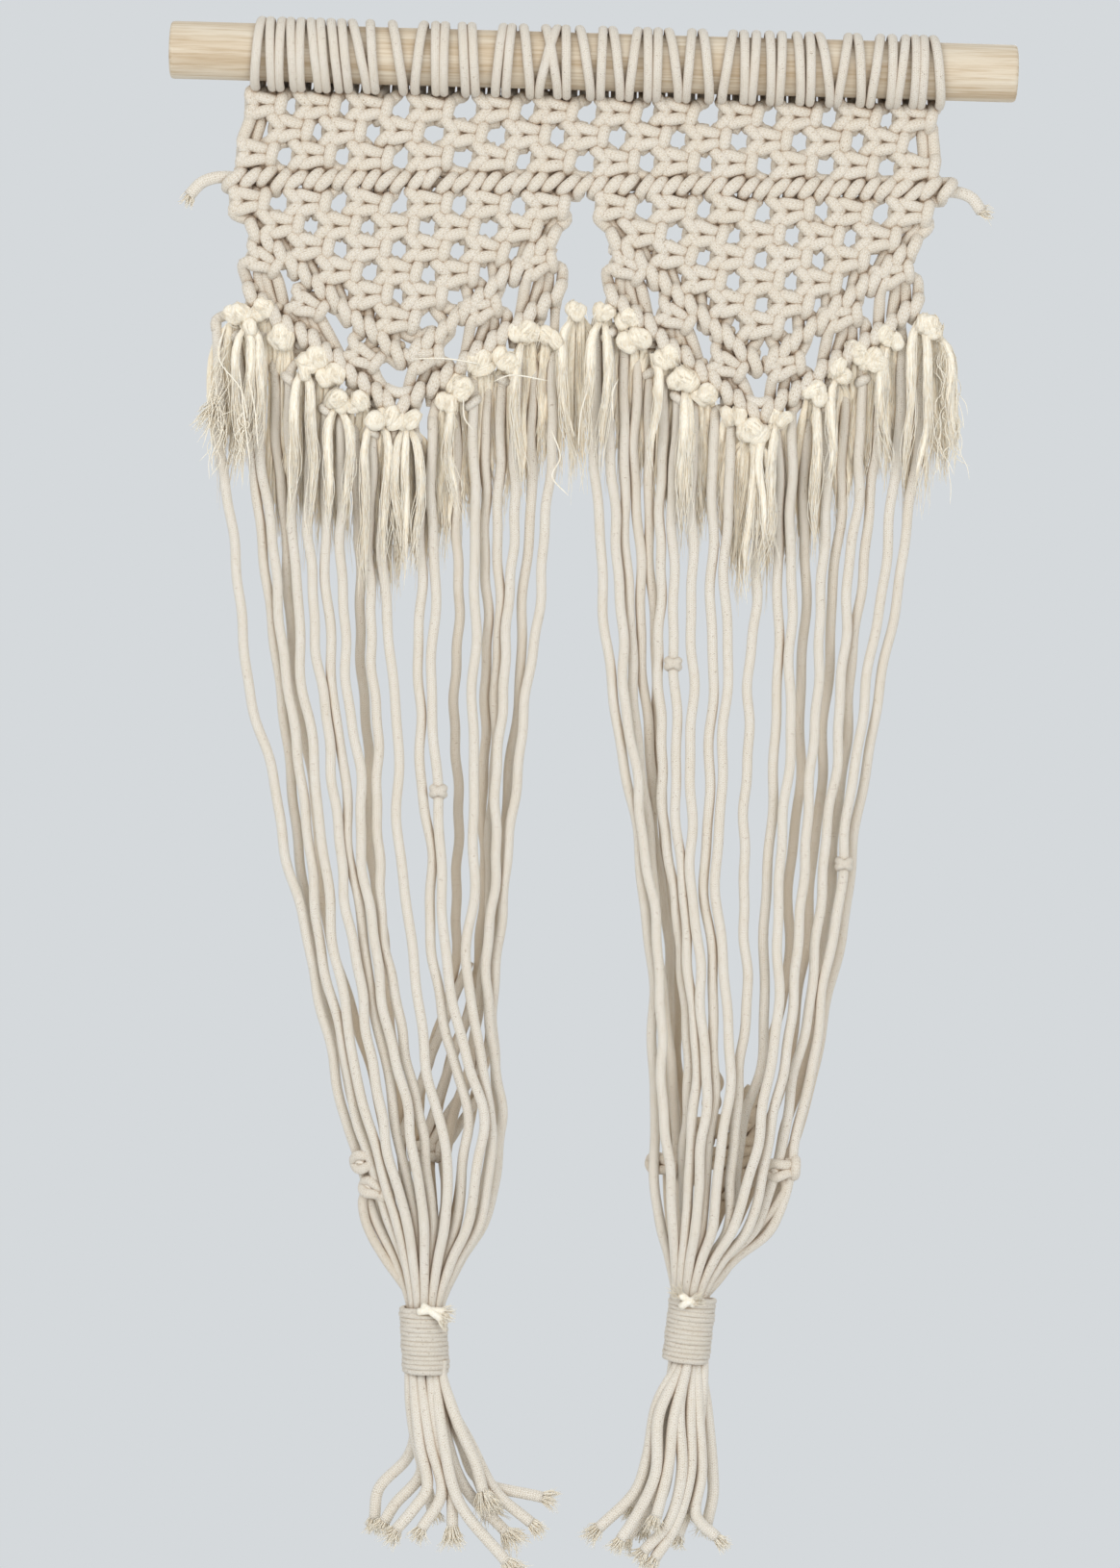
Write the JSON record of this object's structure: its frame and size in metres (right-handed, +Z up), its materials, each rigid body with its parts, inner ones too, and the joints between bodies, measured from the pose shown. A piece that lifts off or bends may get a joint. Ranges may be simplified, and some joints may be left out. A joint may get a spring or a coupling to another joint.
{
  "type": "macrame plant hanger on wooden dowel",
  "caption": "Knotted cotton net with pointed lower panels on a wooden dowel, fringed along the points, with long cords gathered by wrapped knots into plant slings that end in loose tails.",
  "frame": {"origin": "centre of the dowel, on its axis, where the wall holds it", "axes": "+X to the right along the dowel seen from the front, +Y back towards the wall, +Z up"},
  "size_m": [0.4, 0.0481, 0.7289],
  "materials": {
    "dowel_wood": "bare sanded softwood",
    "cotton_cord": "matt braided cotton, undyed",
    "cotton_yarn": "matt combed cotton yarn, undyed"
  },
  "bodies": {
    "root": {"dowel": "dowel_wood", "knotted_net": "cotton_cord", "carrier_cord": "cotton_cord", "fringe_left": "cotton_yarn", "fringe_right": "cotton_yarn", "cord_left_01": "cotton_cord", "cord_left_02": "cotton_cord", "cord_left_03": "cotton_cord", "cord_left_04": "cotton_cord", "cord_left_05": "cotton_cord", "cord_left_06": "cotton_cord", "cord_left_07": "cotton_cord", "cord_left_08": "cotton_cord", "cord_left_09": "cotton_cord", "cord_left_10": "cotton_cord", "cord_left_11": "cotton_cord", "cord_left_12": "cotton_cord", "cord_left_13": "cotton_cord", "cord_left_14": "cotton_cord", "cord_left_15": "cotton_cord", "cord_left_16": "cotton_cord", "cord_left_17": "cotton_cord", "cord_left_18": "cotton_cord", "cord_left_19": "cotton_cord", "cord_left_20": "cotton_cord", "cord_right_01": "cotton_cord", "cord_right_02": "cotton_cord", "cord_right_03": "cotton_cord", "cord_right_04": "cotton_cord", "cord_right_05": "cotton_cord", "cord_right_06": "cotton_cord", "cord_right_07": "cotton_cord", "cord_right_08": "cotton_cord", "cord_right_09": "cotton_cord", "cord_right_10": "cotton_cord", "cord_right_11": "cotton_cord", "cord_right_12": "cotton_cord", "cord_right_13": "cotton_cord", "cord_right_14": "cotton_cord", "cord_right_15": "cotton_cord", "cord_right_16": "cotton_cord", "cord_right_17": "cotton_cord", "cord_right_18": "cotton_cord", "cord_right_19": "cotton_cord", "cord_right_20": "cotton_cord", "bundle_left": "cotton_cord", "bundle_right": "cotton_cord", "wrap_left": "cotton_cord", "wrap_right": "cotton_cord"}
  },
  "joints": []
}
